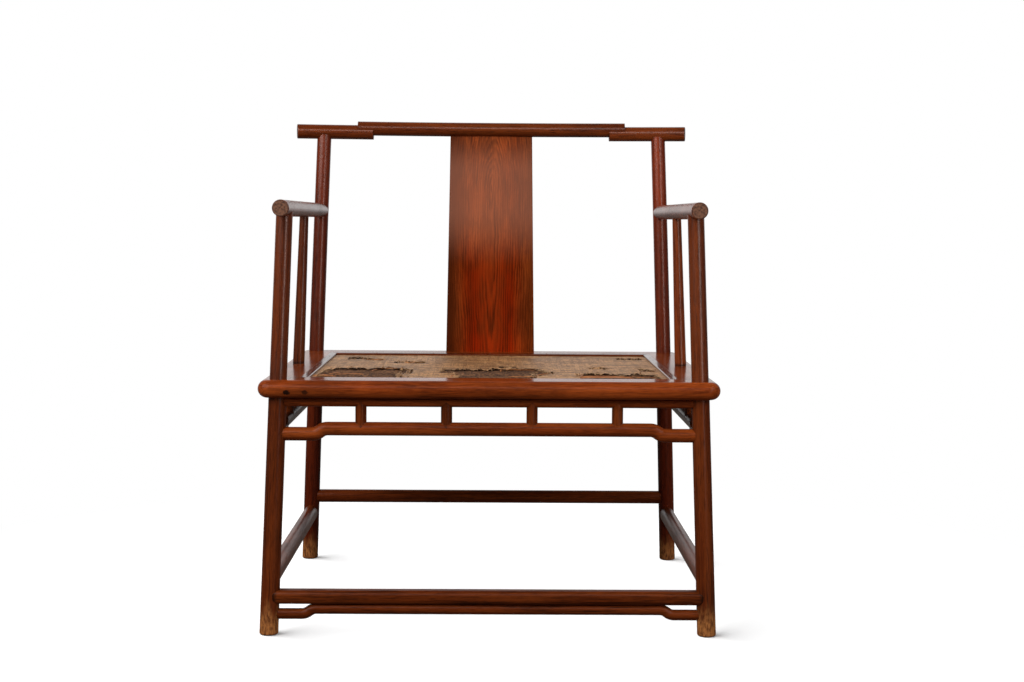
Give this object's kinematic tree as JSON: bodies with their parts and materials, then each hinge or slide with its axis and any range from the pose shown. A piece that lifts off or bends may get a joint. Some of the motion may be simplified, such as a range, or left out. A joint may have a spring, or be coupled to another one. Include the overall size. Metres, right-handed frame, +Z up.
{
  "type": "armchair",
  "caption": "Wide, low-backed wooden armchair of round members, with projecting crest and arm ends, one plain splat and a woven cane seat.",
  "frame": {"origin": "on the floor, under the middle of the seat frame's plan", "axes": "+Z up; -Y is the way the sitter faces; +X is the right side as seen from the front"},
  "size_m": [0.816, 0.717, 0.9266],
  "materials": {
    "dark_hardwood": "waxed satin, reddish brown, lighter where worn",
    "figured_hardwood": "waxed satin with a flame figure",
    "cane": "worn fine weave, torn along the front",
    "palm_fibre": "matte coarse brown fibre",
    "bamboo": "dull"
  },
  "bodies": {
    "root": {"arm_rail_left": "dark_hardwood", "arm_rail_right": "dark_hardwood", "arm_side_post_left": "dark_hardwood", "arm_side_post_right": "dark_hardwood", "back_splat": "figured_hardwood", "cane_mat": "cane", "crest_rail_centre": "dark_hardwood", "crest_rail_end_left": "dark_hardwood", "crest_rail_end_right": "dark_hardwood", "crest_scarf_pins": "dark_hardwood", "edge_strip_pegs": "bamboo", "foot_humpback_front": "dark_hardwood", "foot_stretcher_front": "dark_hardwood", "front_apron_rail": "dark_hardwood", "front_apron_strut_1": "dark_hardwood", "front_apron_strut_2": "dark_hardwood", "front_apron_strut_3": "dark_hardwood", "front_apron_strut_4": "dark_hardwood", "front_humpback_stretcher": "dark_hardwood", "front_leg_post_left": "dark_hardwood", "front_leg_post_right": "dark_hardwood", "left_apron_rail": "dark_hardwood", "left_apron_strut_1": "dark_hardwood", "left_apron_strut_2": "dark_hardwood", "left_apron_strut_3": "dark_hardwood", "left_humpback_stretcher": "dark_hardwood", "palm_fibre_webbing": "palm_fibre", "rear_apron_rail": "dark_hardwood", "rear_apron_strut_1": "dark_hardwood", "rear_apron_strut_2": "dark_hardwood", "rear_apron_strut_3": "dark_hardwood", "rear_apron_strut_4": "dark_hardwood", "rear_humpback_stretcher": "dark_hardwood", "rear_leg_post_left": "dark_hardwood", "rear_leg_post_right": "dark_hardwood", "rear_stretcher": "dark_hardwood", "right_apron_rail": "dark_hardwood", "right_apron_strut_1": "dark_hardwood", "right_apron_strut_2": "dark_hardwood", "right_apron_strut_3": "dark_hardwood", "right_humpback_stretcher": "dark_hardwood", "seat_brace_left": "dark_hardwood", "seat_brace_right": "dark_hardwood", "seat_edge_strip_front": "dark_hardwood", "seat_edge_strip_left": "dark_hardwood", "seat_edge_strip_rear": "dark_hardwood", "seat_edge_strip_right": "dark_hardwood", "seat_frame_front": "dark_hardwood", "seat_frame_left": "dark_hardwood", "seat_frame_rear": "dark_hardwood", "seat_frame_right": "dark_hardwood", "side_stretcher_left": "dark_hardwood", "side_stretcher_right": "dark_hardwood"}
  },
  "joints": []
}
